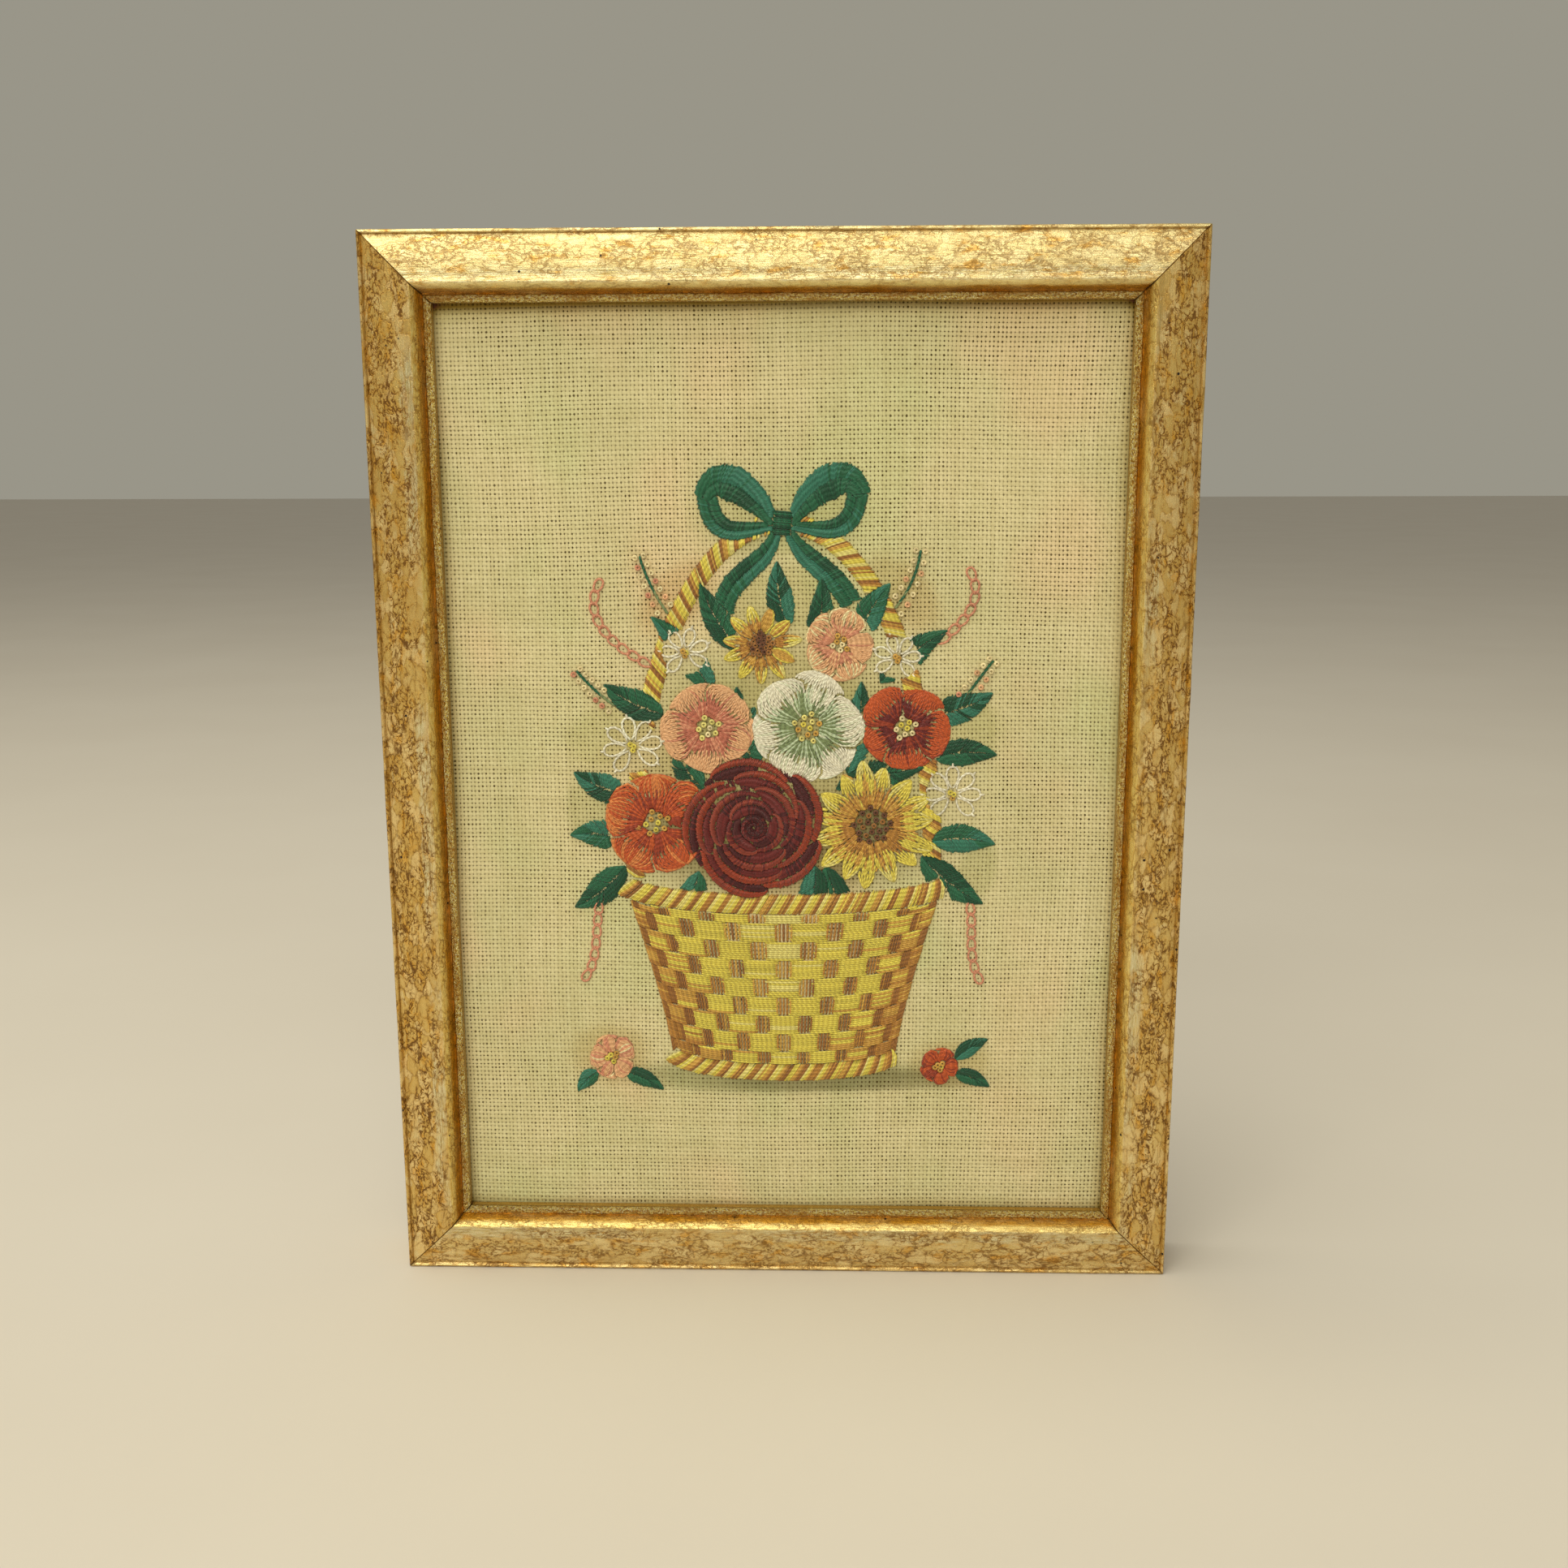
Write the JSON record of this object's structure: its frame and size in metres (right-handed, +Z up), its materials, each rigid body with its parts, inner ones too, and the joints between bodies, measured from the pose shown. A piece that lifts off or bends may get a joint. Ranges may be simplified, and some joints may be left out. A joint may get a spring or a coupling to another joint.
{
  "type": "needlepoint picture in a gilded frame",
  "caption": "Small upright needlework picture: a flat embroidered cloth stretched behind a mitred gilded moulding, standing on its bottom edge.",
  "frame": {"origin": "on the surface that the picture stands on, under the middle of its bottom edge", "axes": "+Z up the picture, -Y out of its face towards the viewer, +X to the viewer's right"},
  "size_m": [0.148, 0.015, 0.1955],
  "materials": {
    "gilded_moulding": "satin",
    "linen_cloth": "matte",
    "mount_card": "matte",
    "needlework_thread": "satin"
  },
  "bodies": {
    "root": {"rail_top": "gilded_moulding", "rail_bottom": "gilded_moulding", "rail_left": "gilded_moulding", "rail_right": "gilded_moulding", "linen": "linen_cloth", "mount_board": "mount_card"}
  },
  "joints": []
}
